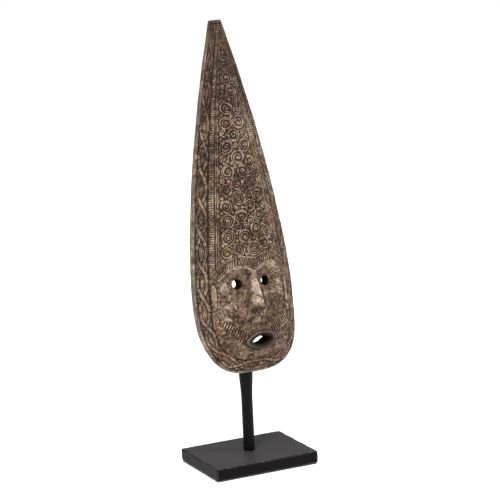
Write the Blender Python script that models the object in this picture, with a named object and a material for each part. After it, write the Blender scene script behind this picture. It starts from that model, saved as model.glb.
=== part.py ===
"""Carved wooden mask on a turned post and a rectangular base block.

Metres, +Z up, the mask looks along -Y.  The origin is the middle of the felt underside.
The mask is a height field over its own back plane: h runs up the mask, x across it,
depth is the distance in front of the back plane.
"""
import math

import bmesh
import bpy
from mathutils import Matrix, Vector

# ---------------------------------------------------------------- driving dimensions (mm)
GAP = 0.3                  # free play left between pieces that touch

FELT_T = 1.5
FELT_INSET = 2.0
BASE_L = 180.0
BASE_W = 130.0
BASE_T = 20.0
BASE_EDGE_R = 1.2
BASE_BOTTOM = FELT_T + GAP
BASE_TOP = BASE_BOTTOM + BASE_T

POST_LEAN = 2.2            # degrees, backwards
POST_Y = -0.3              # where the post axis meets the base top
POST_R = 9.1
POST_R_TOP = 12.4
POST_FLARE_AT = 116.0      # height over the base top where the flare is half way
POST_FLARE_LEN = 36.0
POST_TOP = 167.0           # height over the base top
TENON_R = 7.0
TENON_L = 10.0

MASK_H = 556.8             # length along its own slope
MASK_LEAN = 9.37           # degrees, backwards
MASK_FOOT_Y = -7.7
MASK_FOOT_Z = 152.8
BELLY_H = 124.4            # height of the widest place
BELLY_W = 87.25            # half width there
TIP_W = 9.2
TAPER = 1.59               # how the sides run in from the belly to the tip
CHIN_ROUND = 2.9           # roundness of the chin end
SKEW = 5.7                 # sideways drift of the hand-carved chin
EDGE_T = 9.0               # plain edge strip round the rim
CREST = 50.0               # depth of the crest over the face
CREST_TIP = 17.0
WALL = 12.5
WALL_FACE = 22.0            # thicker behind the face
CAVITY_LO = 38.0
CAVITY_HI = 512.0

EYE_X = 25.5
EYE_H = 147.0
HOLE_H = 144.2            # the drilled eye holes
HOLE_LEFT = -25.5
HOLE_RIGHT = 23.2
EYE_R = 7.6
MOUTH_X = 4.5
MOUTH_H = 52.5
MOUTH_L = 17.5             # half length of the opening
MOUTH_T = 6.8              # half height of the opening
MOUTH_TURN = 3.0           # degrees

SCREW_R = 2.0
SCREW_HEAD_R = 3.8
SCREW_HEAD_T = 2.6
SCREW_BITE = 12.0          # depth of the screw tip inside the chin
SCREW_H = (10.0, 27.0)
BASE_SCREW_R = 2.5
BASE_SCREW_UP = 34.0
BASE_HEAD_R = 4.6
BASE_HEAD_T = 3.2
WASHER_R = 6.5
WASHER_T = 1.2
POCKET_R = 7.6
POCKET_D = 6.2

ROWS_FACE = 34
ROWS_ABOVE = 17
COLS = 16                  # per half width

LEAN = math.radians(MASK_LEAN)
FOOT = Vector((0.0, MASK_FOOT_Y, MASK_FOOT_Z))
UP = Vector((0.0, math.sin(LEAN), math.cos(LEAN)))
OUT = Vector((0.0, -math.cos(LEAN), math.sin(LEAN)))

for old in list(bpy.data.objects):
    bpy.data.objects.remove(old, do_unlink=True)


def collection(name):
    coll = bpy.data.collections.new(name)
    bpy.context.scene.collection.children.link(coll)
    return coll


PARTS = collection("carved_mask")
CUTTERS = collection("cutters")


def material(name, colour, rough, metal=0.0):
    mat = bpy.data.materials.new(name)
    mat.use_nodes = True
    shader = mat.node_tree.nodes["Principled BSDF"]
    shader.inputs["Base Color"].default_value = (*colour, 1.0)
    shader.inputs["Roughness"].default_value = rough
    shader.inputs["Metallic"].default_value = metal
    return mat


WOOD = material("carved_wood", (0.13, 0.095, 0.07), 0.75)
BLACK = material("black_paint", (0.012, 0.012, 0.013), 0.45)
BLACK_BASE = material("black_paint_base", (0.013, 0.013, 0.014), 0.4)
STEEL = material("screw_steel", (0.45, 0.45, 0.46), 0.4, 1.0)
STEEL_B = material("base_screw_steel", (0.45, 0.45, 0.46), 0.4, 1.0)
ZINC = material("washer_zinc", (0.5, 0.5, 0.5), 0.35, 1.0)
FELT = material("black_felt", (0.02, 0.02, 0.02), 0.95)


# ---------------------------------------------------------------- mask surface
def clamp(value, low=0.0, high=1.0):
    return max(low, min(high, value))


def half_width(h):
    if h >= BELLY_H:
        s = (h - BELLY_H) / (MASK_H - BELLY_H)
        return TIP_W + (BELLY_W - TIP_W) * (1.0 - s ** TAPER)
    t = 1.0 - h / BELLY_H
    return BELLY_W * (1.0 - t ** CHIN_ROUND) ** (1.0 / CHIN_ROUND)


def rim_ratio(x, h):
    """0 on the centre line of the belly, 1 on the outline."""
    if h >= BELLY_H:
        return abs(x) / half_width(h)
    t = 1.0 - h / BELLY_H
    return ((abs(x) / BELLY_W) ** CHIN_ROUND + t ** CHIN_ROUND) ** (1.0 / CHIN_ROUND)


def crest(h):
    s = clamp((h - BELLY_H) / (MASK_H - BELLY_H))
    return CREST_TIP + (CREST - CREST_TIP) * (1.0 - s ** 1.6)


def arch(x, h):
    u = clamp(rim_ratio(x, h))
    return EDGE_T + (crest(h) - EDGE_T) * (1.0 - u * u) ** 0.8


def bump(x, h, cx, ch, rx, rh, power=2.0):
    r = ((x - cx) / rx) ** 2 + ((h - ch) / rh) ** 2
    return math.exp(-(r ** (power / 2.0)))


def soft_step(value):
    t = clamp(value)
    return t * t * (3.0 - 2.0 * t)


def nose(x, h):
    tip = 107.0
    root = 165.0
    if h > root + 8.0:
        return 0.0
    t = clamp((root - h) / (root - tip))
    flat = 2.5 + 4.5 * t
    side = 3.4 + 6.0 * t
    height = 4.0 + 11.0 * t
    across = 1.0 - soft_step((abs(x) - flat) / side)
    below = clamp((h - (tip - 5.0)) / 6.5)
    above = clamp((root + 8.0 - h) / 16.0)
    return height * across * below * above


def brow(x, h):
    line = 171.0 - ((abs(x) - 26.0) / 11.0) ** 2 * 1.6
    fade = clamp((56.0 - abs(x)) / 14.0)
    return 4.0 * math.exp(-((h - line) / 6.5) ** 2) * fade


def eye_pit(x, h):
    return -6.5 * bump(abs(x), h, EYE_X, EYE_H - 1.0, 17.0, 14.5, 3.0)


def mouth_frame(x, h):
    a = math.radians(MOUTH_TURN)
    dx = x - MOUTH_X
    dh = h - MOUTH_H
    return dx * math.cos(a) + dh * math.sin(a), dh * math.cos(a) - dx * math.sin(a)


def lips(x, h):
    p, q = mouth_frame(x, h)
    r = math.hypot(p / 27.0, q / 13.5)
    ring = math.exp(-((r - 0.8) / 0.3) ** 2)
    return 5.5 * ring + 3.0 * bump(p, q, 0.0, 0.0, 34.0, 22.0)


def front(x, h):
    edge = clamp((1.0 - clamp(rim_ratio(x, h))) / 0.12)
    face = nose(x, h) + brow(x, h) + eye_pit(x, h) + lips(x, h)
    return arch(x, h) + face * edge


def land(h):
    return min(WALL, 0.45 * half_width(h))


def cavity(x, h):
    q = (h - 0.5 * (CAVITY_LO + CAVITY_HI)) / (0.5 * (CAVITY_HI - CAVITY_LO))
    inner = half_width(h) - land(h)
    v = abs(x) / inner
    if v >= 1.0 or abs(q) >= 1.0:
        return 0.0
    wall = WALL_FACE + (WALL - WALL_FACE) * soft_step((h - 175.0) / 70.0)
    depth = max(0.0, arch(x, h) - wall)
    return depth * (1.0 - v ** 5) ** 0.5 * (1.0 - abs(q) ** 14) ** 0.5


def skew(h):
    return SKEW * math.exp(-(((h - 20.0) / 45.0) ** 2))


def mask_point(x, h, depth):
    return (Vector((x + skew(h), 0.0, 0.0)) + FOOT + UP * h + OUT * depth) * 0.001


def mask_rows():
    low = 0.6
    rows = []
    for i in range(ROWS_FACE + 1):
        t = i / ROWS_FACE
        rows.append(low + (195.0 - low) * (t ** 1.0 - 0.13 * math.sin(math.pi * t) * (1.0 - t)))
    for i in range(1, ROWS_ABOVE + 1):
        rows.append(195.0 + (MASK_H - 195.0) * i / ROWS_ABOVE)
    return rows


def front_columns(h):
    half = half_width(h)
    steps = [half * math.sin(0.5 * math.pi * j / COLS) ** 1.0 for j in range(COLS + 1)]
    mixed = [0.55 * s + 0.45 * half * j / COLS for j, s in enumerate(steps)]
    return [-x for x in reversed(mixed[1:])] + mixed


def back_columns(h):
    half = half_width(h)
    inner = half - land(h)
    steps = [inner * (j / (COLS - 1)) ** 0.8 for j in range(COLS)] + [half]
    return [-x for x in reversed(steps[1:])] + steps


def build_mask():
    rows = mask_rows()
    bm = bmesh.new()
    fronts = []
    backs = []
    for h in rows:
        xs = front_columns(h)
        fronts.append([bm.verts.new(mask_point(x, h, front(x, h))) for x in xs])
        xs = back_columns(h)
        backs.append([bm.verts.new(mask_point(x, h, cavity(x, h))) for x in xs])
    last = 2 * COLS
    for i in range(len(rows) - 1):
        for j in range(last):
            bm.faces.new((fronts[i][j], fronts[i][j + 1], fronts[i + 1][j + 1], fronts[i + 1][j]))
            bm.faces.new((backs[i][j], backs[i + 1][j], backs[i + 1][j + 1], backs[i][j + 1]))
        bm.faces.new((fronts[i][0], fronts[i + 1][0], backs[i + 1][0], backs[i][0]))
        bm.faces.new((fronts[i][last], backs[i][last], backs[i + 1][last], fronts[i + 1][last]))
    for j in range(last):
        bm.faces.new((fronts[0][j], backs[0][j], backs[0][j + 1], fronts[0][j + 1]))
        bm.faces.new((fronts[-1][j], fronts[-1][j + 1], backs[-1][j + 1], backs[-1][j]))
    bmesh.ops.triangulate(bm, faces=bm.faces[:])
    return finish("mask", bm, WOOD)


# ---------------------------------------------------------------- helpers
def finish(name, bm, mat, where=None):
    bmesh.ops.recalc_face_normals(bm, faces=bm.faces[:])
    mesh = bpy.data.meshes.new(name)
    bm.to_mesh(mesh)
    bm.free()
    obj = bpy.data.objects.new(name, mesh)
    if mat is not None:
        mesh.materials.append(mat)
    (where or PARTS).objects.link(obj)
    return obj


def lathe(name, profile, mat, segments=40, place=None, where=None):
    """Closed solid of revolution about local Z; profile is (radius, z) from bottom to top."""
    bm = bmesh.new()
    rings = []
    for radius, z in profile:
        ring = []
        for k in range(segments):
            a = 2.0 * math.pi * k / segments
            ring.append(bm.verts.new((radius * math.cos(a), radius * math.sin(a), z)))
        rings.append(ring)
    for low, high in zip(rings, rings[1:]):
        for k in range(segments):
            n = (k + 1) % segments
            bm.faces.new((low[k], low[n], high[n], high[k]))
    bm.faces.new(list(reversed(rings[0])))
    bm.faces.new(rings[-1])
    if place is not None:
        bmesh.ops.transform(bm, matrix=place, verts=bm.verts[:])
    bmesh.ops.scale(bm, vec=(0.001, 0.001, 0.001), verts=bm.verts[:])
    return finish(name, bm, mat, where)


def box(name, size, centre, mat, place=None, where=None, bevel=0.0):
    bm = bmesh.new()
    bmesh.ops.create_cube(bm, size=1.0)
    bmesh.ops.scale(bm, vec=size, verts=bm.verts[:])
    bmesh.ops.translate(bm, vec=centre, verts=bm.verts[:])
    if bevel:
        bmesh.ops.bevel(bm, geom=bm.edges[:], offset=bevel, segments=3, profile=0.5, affect="EDGES")
    if place is not None:
        bmesh.ops.transform(bm, matrix=place, verts=bm.verts[:])
    bmesh.ops.scale(bm, vec=(0.001, 0.001, 0.001), verts=bm.verts[:])
    return finish(name, bm, mat, where)


def cutter_show(obj):
    obj.hide_render = True
    obj.display_type = "WIRE"


def cut(target, *tools):
    for tool in tools:
        cutter_show(tool)
        mod = target.modifiers.new(tool.name, "BOOLEAN")
        mod.operation = "DIFFERENCE"
        mod.solver = "EXACT"
        mod.object = tool


def rod(name, radius, low, high, place, segments=24):
    return lathe(name, [(radius, low), (radius, high)], None, segments, place, CUTTERS)


# ---------------------------------------------------------------- frames
BASE_FRAME = Matrix.Translation((0.0, POST_Y, BASE_TOP))
POST_FRAME = BASE_FRAME @ Matrix.Rotation(math.radians(-POST_LEAN), 4, "X")


def out_frame(x, h):
    """Local Z runs out of the mask's back plane, local X across it."""
    spot = Vector((x, 0.0, 0.0)) + FOOT + UP * h
    turn = Matrix((Vector((1.0, 0.0, 0.0)), -UP, OUT)).transposed().to_4x4()
    return Matrix.Translation(spot) @ turn


# ---------------------------------------------------------------- mask
mask = build_mask()
for side, across in (("left", HOLE_LEFT), ("right", HOLE_RIGHT)):
    cut(mask, rod("eye_cut_" + side, EYE_R, -5.0, 80.0, out_frame(across, HOLE_H), 28))


def almond(name, half_l, half_t, place, where):
    bm = bmesh.new()
    side = 9
    outline = []
    for k in range(side + 1):
        t = -1.0 + 2.0 * k / side
        outline.append((half_l * t, -half_t * (1.0 - abs(t) ** 2.1)))
    for k in range(1, side):
        t = 1.0 - 2.0 * k / side
        outline.append((half_l * t, half_t * (1.0 - abs(t) ** 2.1)))
    rings = []
    for z in (-5.0, 90.0):
        rings.append([bm.verts.new((x, y, z)) for x, y in outline])
    count = len(outline)
    for k in range(count):
        n = (k + 1) % count
        bm.faces.new((rings[0][k], rings[0][n], rings[1][n], rings[1][k]))
    bm.faces.new(list(reversed(rings[0])))
    bm.faces.new(rings[1])
    bmesh.ops.transform(bm, matrix=place, verts=bm.verts[:])
    bmesh.ops.scale(bm, vec=(0.001, 0.001, 0.001), verts=bm.verts[:])
    return finish(name, bm, None, where)


mouth_place = out_frame(MOUTH_X + skew(MOUTH_H), MOUTH_H) @ Matrix.Rotation(math.radians(-MOUTH_TURN), 4, "Z")
cut(mask, almond("mouth_cut", MOUTH_L, MOUTH_T, mouth_place, CUTTERS))
for k, h in enumerate(SCREW_H):
    cut(mask, rod("pilot_%d" % k, SCREW_R + GAP, -6.0, SCREW_BITE + GAP, out_frame(0.0, h), 20))

# ---------------------------------------------------------------- post


def post_radius(z):
    t = clamp(0.5 + (z - POST_FLARE_AT) / (2.0 * POST_FLARE_LEN))
    return POST_R + (POST_R_TOP - POST_R) * (t * t * (3.0 - 2.0 * t))


profile = [(POST_R, -8.0)]
count = 12
for k in range(count + 1):
    z = 60.0 + (POST_TOP - 2.0 - 60.0) * k / count
    profile.append((post_radius(z), z))
profile.append((post_radius(POST_TOP) - 0.6, POST_TOP - 0.6))
profile.append((post_radius(POST_TOP) - 2.0, POST_TOP))
post = lathe("post", profile, BLACK, 40, POST_FRAME)
# the foot is cut level, so that the leaning post stands flat on the base
cut(post, box("foot_cut", (80.0, 80.0, 40.0), (0.0, 0.0, BASE_TOP + GAP - 20.0), None,
              None, CUTTERS))
tenon_profile = [(TENON_R - 0.8, GAP - TENON_L), (TENON_R, GAP - TENON_L + 0.8)]
tenon_profile.append((TENON_R, 12.0))
tenon = lathe("tenon", tenon_profile, None, 32, BASE_FRAME, CUTTERS)
cutter_show(tenon)
join = post.modifiers.new("tenon", "BOOLEAN")
join.operation = "UNION"
join.solver = "EXACT"
join.object = tenon
cut(post, box("lean_cut", (80.0, 160.0, 60.0), (0.0, -20.0, 30.0 - GAP), None,
              out_frame(0.0, 15.0), CUTTERS))

# the screws run square to the mask's back plane, their heads sunk in the post's back
BACK = Vector((0.0, 1.0, 0.0))


def back_depth(h):
    """Distance behind the mask's back plane at which the post's back surface lies."""
    spot = FOOT + UP * h
    low = 0.0
    for step in range(400):
        low = step * 0.1
        p = POST_FRAME.inverted() @ (spot - OUT * low)
        if p.y > 0.0 and math.hypot(p.x, p.y) > post_radius(p.z):
            break
    return low


for k, h in enumerate(SCREW_H):
    seat = back_depth(h) - SCREW_HEAD_T - 2.2
    frame = out_frame(0.0, h)
    cut(post, rod("screw_bore_%d" % k, SCREW_R + GAP, -seat - 2.0, 6.0, frame, 20))
    cut(post, rod("head_bore_%d" % k, SCREW_HEAD_R + GAP, -60.0, -seat, frame, 28))
    shank = [(SCREW_R * 0.35, SCREW_BITE), (SCREW_R, SCREW_BITE - 4.0)]
    body = [(SCREW_HEAD_R - 0.5, -seat - GAP - SCREW_HEAD_T)]
    body.append((SCREW_HEAD_R, -seat - GAP - SCREW_HEAD_T + 0.7))
    body.append((SCREW_HEAD_R, -seat - GAP))
    body.append((SCREW_R, -seat - GAP))
    body.extend(reversed(shank))
    screw = lathe("mask_screw_" + ("lower", "upper")[k], body, STEEL, 28, frame)
    slot = box("slot_%d" % k, (20.0, 1.1, 2.2), (0.0, 0.0, -seat - GAP - SCREW_HEAD_T), None,
               frame @ Matrix.Rotation(math.radians(20.0 + 50.0 * k), 4, "Z"), CUTTERS)
    cut(screw, slot)

cut(post, rod("base_pilot", BASE_SCREW_R + GAP, -40.0, BASE_SCREW_UP - 10.0 + GAP,
              BASE_FRAME, 20))

# ---------------------------------------------------------------- base block and its screw
base = box("base_block", (BASE_L, BASE_W, BASE_T), (0.0, 0.0, BASE_BOTTOM + 0.5 * BASE_T),
           BLACK_BASE, bevel=BASE_EDGE_R)
cut(base, rod("socket", TENON_R + GAP, -TENON_L, 20.0, BASE_FRAME, 32))
cut(base, rod("pocket", POCKET_R, -60.0, POCKET_D - BASE_T, BASE_FRAME, 32))
cut(base, rod("clear", BASE_SCREW_R + GAP, -60.0, 20.0, BASE_FRAME, 20))

ceiling = POCKET_D - BASE_T
washer_top = ceiling - GAP
washer = lathe("base_washer", [(WASHER_R, washer_top - WASHER_T), (WASHER_R, washer_top)],
               ZINC, 32, BASE_FRAME)
cut(washer, rod("washer_hole", BASE_SCREW_R + GAP, -60.0, 20.0, BASE_FRAME, 20))
head_top = washer_top - WASHER_T - GAP
screw_profile = [(BASE_HEAD_R - 0.9, head_top - BASE_HEAD_T)]
screw_profile.append((BASE_HEAD_R, head_top - BASE_HEAD_T + 1.1))
screw_profile.append((BASE_HEAD_R, head_top))
screw_profile.append((BASE_SCREW_R, head_top))
screw_profile.append((BASE_SCREW_R, BASE_SCREW_UP - 15.0))
screw_profile.append((BASE_SCREW_R * 0.35, BASE_SCREW_UP - 10.0))
base_screw = lathe("base_screw", screw_profile, STEEL_B, 28, BASE_FRAME)
cut(base_screw, box("base_slot", (20.0, 1.3, 2.6), (0.0, 0.0, head_top - BASE_HEAD_T), None,
                    BASE_FRAME, CUTTERS))

# ---------------------------------------------------------------- felt
felt = box("felt_pad", (BASE_L - 2.0 * FELT_INSET, BASE_W - 2.0 * FELT_INSET, FELT_T),
           (0.0, 0.0, 0.5 * FELT_T), FELT)
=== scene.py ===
"""Carved wooden mask on a black post and base block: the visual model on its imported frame."""
import math

import bmesh
import bpy
import numpy as np
from mathutils import Matrix, Vector


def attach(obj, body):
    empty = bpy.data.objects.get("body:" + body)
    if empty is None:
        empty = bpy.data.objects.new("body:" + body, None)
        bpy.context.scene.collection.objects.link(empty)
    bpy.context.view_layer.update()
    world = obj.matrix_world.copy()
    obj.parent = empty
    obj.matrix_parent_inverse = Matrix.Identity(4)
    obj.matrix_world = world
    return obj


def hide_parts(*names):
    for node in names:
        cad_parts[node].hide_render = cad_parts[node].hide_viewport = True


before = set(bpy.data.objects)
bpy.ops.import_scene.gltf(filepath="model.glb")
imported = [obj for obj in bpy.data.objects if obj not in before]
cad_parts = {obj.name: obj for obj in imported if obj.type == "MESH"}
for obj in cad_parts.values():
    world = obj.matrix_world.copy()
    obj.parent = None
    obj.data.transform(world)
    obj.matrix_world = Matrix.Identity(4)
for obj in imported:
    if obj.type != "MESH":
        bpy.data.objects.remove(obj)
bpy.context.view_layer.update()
scene = bpy.context.scene
MM = 0.001

# ---------- the stand in mm, as in the CAD
BASE_L, BASE_W, BASE_T = 180.0, 130.0, 20.0
BASE_BOTTOM = 1.8
BASE_TOP = BASE_BOTTOM + BASE_T
POST_Y = -0.3

# ---------- the mask in mm, as in the CAD
MASK_H = 556.8
MASK_LEAN = 9.37
MASK_FOOT = np.array([0.0, -7.7, 152.8])
BELLY_H, BELLY_W, TIP_W = 124.4, 87.25, 9.2
TAPER, CHIN_ROUND, SKEW = 1.59, 2.9, 5.7
EDGE_T = 9.0
CREST, CREST_TIP = 50.0, 17.0
WALL, WALL_FACE = 12.5, 22.0
CAVITY_LO, CAVITY_HI = 38.0, 512.0
EYE_X, EYE_H, EYE_R = 25.5, 147.0, 7.6
HOLE_H, HOLE_L, HOLE_R = 144.2, -25.5, 23.2   # centres of the drilled eye holes
MOUTH_X, MOUTH_H = 4.5, 52.5
MOUTH_L, MOUTH_T = 17.5, 6.8
MOUTH_TURN = math.radians(3.0)
MOUTH_POWER = 2.1          # shape of the mouth's almond outline
NOSE_TIP, NOSE_ROOT = 107.0, 165.0
PHILTRUM_X, PHILTRUM_H = 2.0, 88.0
BROW_H, BROW_X = 171.0, 26.0

LEAN = math.radians(MASK_LEAN)
UP = np.array([0.0, math.sin(LEAN), math.cos(LEAN)])
OUT = np.array([0.0, -math.cos(LEAN), math.sin(LEAN)])
ACROSS = np.array([1.0, 0.0, 0.0])


def join(*parts, axis=0):
    return np.concatenate(parts, axis)


def clamp(value, low=0.0, high=1.0):
    return np.clip(value, low, high)


def step(value):
    t = clamp(value)
    return t * t * (3.0 - 2.0 * t)


def half_width(h):
    s = clamp((h - BELLY_H) / (MASK_H - BELLY_H))
    t = clamp(1.0 - h / BELLY_H)
    upper = TIP_W + (BELLY_W - TIP_W) * (1.0 - s ** TAPER)
    lower = BELLY_W * clamp(1.0 - t ** CHIN_ROUND) ** (1.0 / CHIN_ROUND)
    return np.where(h >= BELLY_H, upper, lower)


def crest(h):
    s = clamp((h - BELLY_H) / (MASK_H - BELLY_H))
    return CREST_TIP + (CREST - CREST_TIP) * (1.0 - s ** 1.6)


def arch(u, h):
    """Depth of the plain front over the back plane, at u of the half width."""
    return EDGE_T + (crest(h) - EDGE_T) * clamp(1.0 - u * u) ** 0.8


def skew(h):
    """The chin leans to one side."""
    return SKEW * np.exp(-(((h - 20.0) / 45.0) ** 2))


def path_length(x, y):
    """Distance from the first point to each point of a line."""
    return join([0.0], np.cumsum(np.hypot(np.diff(x), np.diff(y))))


def nose(x, h):
    """The nose, and the small raised mark under it."""
    t = clamp((NOSE_ROOT - h) / (NOSE_ROOT - NOSE_TIP))
    flat = 2.2 + 4.6 * t
    side = 3.4 + 6.0 * t
    height = 4.0 + 11.0 * t
    sides = 1.0 - step((np.abs(x) - flat) / side)
    below = clamp((h - (NOSE_TIP - 5.0)) / 6.5)
    above = clamp((NOSE_ROOT + 8.0 - h) / 16.0)
    mark = 2.2 * np.exp(-(((x - PHILTRUM_X) / 4.5) ** 2) - ((h - PHILTRUM_H) / 8.0) ** 2)
    return height * sides * below * above + mark


def brow(x, h):
    line = BROW_H - ((np.abs(x) - BROW_X) / 11.0) ** 2 * 1.6
    fade = clamp((56.0 - np.abs(x)) / 14.0)
    return 4.0 * np.exp(-(((h - line) / 6.5) ** 2)) * fade


def eye_pit(x, h):
    r = ((np.abs(x) - EYE_X) / 17.0) ** 2 + ((h - EYE_H + 1.0) / 14.5) ** 2
    return -6.5 * np.exp(-(r ** 1.5))


def mouth_frame(x, h):
    dx = x - MOUTH_X
    dh = h - MOUTH_H
    c, s = math.cos(MOUTH_TURN), math.sin(MOUTH_TURN)
    return dx * c + dh * s, dh * c - dx * s


def lips(x, h):
    p, q = mouth_frame(x, h)
    r = np.hypot(p / 27.0, q / 13.5)
    swell = np.exp(-((p / 34.0) ** 2 + (q / 22.0) ** 2))
    return 5.5 * np.exp(-(((r - 0.8) / 0.3) ** 2)) + 3.0 * swell


def face(x, h, u):
    """Height of the face over the plain arch."""
    edge = clamp((1.0 - u) / 0.12)
    return (nose(x, h) + brow(x, h) + eye_pit(x, h) + lips(x, h)) * edge


def land(h):
    """Width of the flat rim at the back."""
    return np.minimum(WALL, 0.45 * half_width(h))


def cavity(x, h, u):
    """Depth of the hollow over the back plane, with thicker walls behind eyes and mouth."""
    q = (h - 0.5 * (CAVITY_LO + CAVITY_HI)) / (0.5 * (CAVITY_HI - CAVITY_LO))
    inner = np.maximum(half_width(h) - land(h), 1.0)
    v = np.abs(x) / inner
    wall = WALL_FACE + (WALL - WALL_FACE) * step((h - 175.0) / 70.0)
    depth = np.maximum(0.0, arch(u, h) - wall)
    behind = ((np.abs(x) - EYE_X) / 20.0) ** 2 + ((h - EYE_H) / 20.0) ** 2
    under = ((x - MOUTH_X) / 34.0) ** 2 + ((h - MOUTH_H) / 26.0) ** 2
    depth = np.maximum(0.0, depth - 7.0 * np.exp(-under))
    depth = np.maximum(0.0, depth - 9.0 * np.exp(-behind))
    across = clamp(1.0 - clamp(v) ** 5) ** 0.5
    return depth * (across * clamp(1.0 - np.abs(clamp(q, -1, 1)) ** 14) ** 0.5)


# ---------- value noise
CELLS = 64                 # the noise repeats after so many


def noise(x, y, size, seed):
    """Smooth value noise, 0 to 1, with features about `size` across."""
    grid = np.random.RandomState(seed).rand(CELLS, CELLS)
    gx, gy = x / size + 1000.0, y / size + 1000.0
    ix, iy = np.floor(gx).astype(int), np.floor(gy).astype(int)
    fx, fy = gx - ix, gy - iy
    fx, fy = fx * fx * (3 - 2 * fx), fy * fy * (3 - 2 * fy)
    a, b, c, d = (grid[(ix + i) % CELLS, (iy + j) % CELLS]
                  for i, j in ((0, 0), (1, 0), (0, 1), (1, 1)))
    return (a * (1 - fx) + b * fx) * (1 - fy) + (c * (1 - fx) + d * fx) * fy


def rough_noise(x, y, size, seed):
    """Three sizes of noise together, 0 to 1."""
    total = noise(x, y, size, seed) + 0.5 * noise(x, y, size * 0.47, seed + 1)
    return (total + 0.25 * noise(x, y, size * 0.21, seed + 2)) / 1.75


# ---------- carving: border
def ridge(d, w):
    """A rounded cord of half width w."""
    return np.sqrt(clamp(1.0 - (d / w) ** 2))


PITCH = 49.0               # length of one loop of the braid
BAND_MID, BAND_HALF = 16.0, 9.2
SWING = 8.2
STRAND = 2.9               # half width of one strand
STRAND_GAP = 1.1


def strand(d):
    """One rounded cord with a fine cut along its middle."""
    return ridge(d, STRAND) * (1.0 - 0.45 * np.exp(-((d / 0.42) ** 2)))


def leaf(edge):
    """A rim, a groove and a core, for a shape whose outline is at edge = 0."""
    rim = clamp(edge / 0.7)
    return rim * (1.0 - 0.9 * np.exp(-(((edge - 2.15) / 0.55) ** 2)))


def braid(ep, phase):
    """Two strands that cross once in each pitch, with leaves in their loops and beside them."""
    wave = np.cos(math.pi * phase)
    slope = SWING * math.pi / PITCH * np.sin(math.pi * phase)
    lean = 1.0 / np.sqrt(1.0 + slope ** 2)
    a = (ep - BAND_MID - SWING * wave) * lean
    b = (ep - BAND_MID + SWING * wave) * lean
    over_a = np.floor(phase).astype(int) % 2 == 0
    top = np.where(over_a, a, b)
    low = np.where(over_a, b, a)
    relief = np.where(np.abs(top) < STRAND, strand(top), 0.0)
    under = (np.abs(top) >= STRAND + STRAND_GAP) & (np.abs(low) < STRAND)
    relief = np.where(under, strand(low) * 0.88, relief)
    away = np.abs(ep - BAND_MID)
    inside = (SWING * np.abs(wave) - away) * lean - STRAND - STRAND_GAP
    relief = np.where(inside > 0.0, np.maximum(relief, 0.94 * leaf(inside)), relief)
    outside = (away - SWING * np.abs(wave)) * lean - STRAND - STRAND_GAP
    fill = np.minimum(outside, BAND_HALF - away)
    return np.where(fill > 0.0, np.maximum(relief, 0.78 * leaf(fill)), relief)


def groove(d, w):
    """0 along a line of half width w, 1 beside it."""
    return 1.0 - clamp(1.0 - (d / w) ** 2)


# ---------- carving: forehead arches
ARCH_X, ARCH_H = 6.0, 187.5     # where the two arches meet, and the height of their tops
ARCH_HALF, ARCH_OUTER = 28.0, 38.0


def arch_line(x):
    """Upper line of the two forehead arches, which meet a little right of the middle."""
    a = np.abs(x - ARCH_X)
    inner = ARCH_H - 5.5 * ((ARCH_HALF - a) / ARCH_HALF) ** 2
    outer = ARCH_H - 21.0 * (np.maximum(a - ARCH_HALF, 0.0) / ARCH_OUTER) ** 1.8
    return np.where(a < ARCH_HALF, inner, outer) + 2.5 * step(x / 24.0)


def arch_slope(x):
    return arch_line(x + 0.5) - arch_line(x - 0.5)


# ---------- carving: scrolls
def half_arc(h):
    """Length over the arch from the centre line to the edge strip."""
    u = np.linspace(0.0, 1.0, 60)
    x = u * float(half_width(np.array(h)))
    return float(path_length(x, arch(u, h))[-1])


def border_scale(h):
    """The border narrows with the mask towards the tip."""
    return np.where(h < BELLY_H, 1.0, clamp(0.35 + 0.65 * half_width(h) / 80.0, 0.3, 1.0))


PANEL_EDGE = 46.5
PANEL_WIDE, PANEL_FOOT, PANEL_TOP = 56.0, 160.0, 546.0
SCROLL_STEP = 1.0
SCROLL_GAP = 0.5
BEAD = 3.0                 # smaller circles than this are beads, not scrolls
JOINED = 5.0               # only scrolls larger than this are joined to their neighbours
NO_ROOM = 1e9


def panel_half(h):
    return half_arc(h) - PANEL_EDGE * float(border_scale(np.array(h))) - 0.5


def pack_scrolls(seed=5):
    """Circles from large to small, each set low down where it just fits."""
    rnd = np.random.RandomState(seed)
    gx, gy = np.meshgrid(np.arange(-PANEL_WIDE, PANEL_WIDE + 0.1, SCROLL_STEP),
                         np.arange(PANEL_FOOT, PANEL_TOP + 2.0, SCROLL_STEP))
    rows = gy[:, 0]
    room = np.array([panel_half(h) for h in rows])
    slope = np.gradient(room, rows)
    side = (room[:, None] - np.abs(gx)) / np.sqrt(1.0 + slope[:, None] ** 2)
    below = (gy - arch_line(gx)) / np.sqrt(1.0 + arch_slope(gx) ** 2)
    free = np.minimum(np.minimum(side, below), PANEL_TOP - gy)
    sizes = list(10.0 + 2.4 * rnd.rand(60)) + list(np.linspace(9.6, 4.6, 90))
    sizes += list(np.linspace(4.5, 1.7, 150))
    placed = []
    for size in sizes:
        fits = free - size
        cost = np.where(fits >= 0.0, fits + 0.035 * gy + 1.2 * rnd.rand(*gx.shape), NO_ROOM)
        k = np.unravel_index(np.argmin(cost), cost.shape)
        if cost[k] == NO_ROOM:
            continue
        x, y = gx[k], gy[k]
        placed.append((x, y, size))
        free = np.minimum(free, np.hypot(gx - x, gy - y) - size - SCROLL_GAP)
    done = np.array(placed)
    return done[:, :2], done[:, 2], rnd


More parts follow.
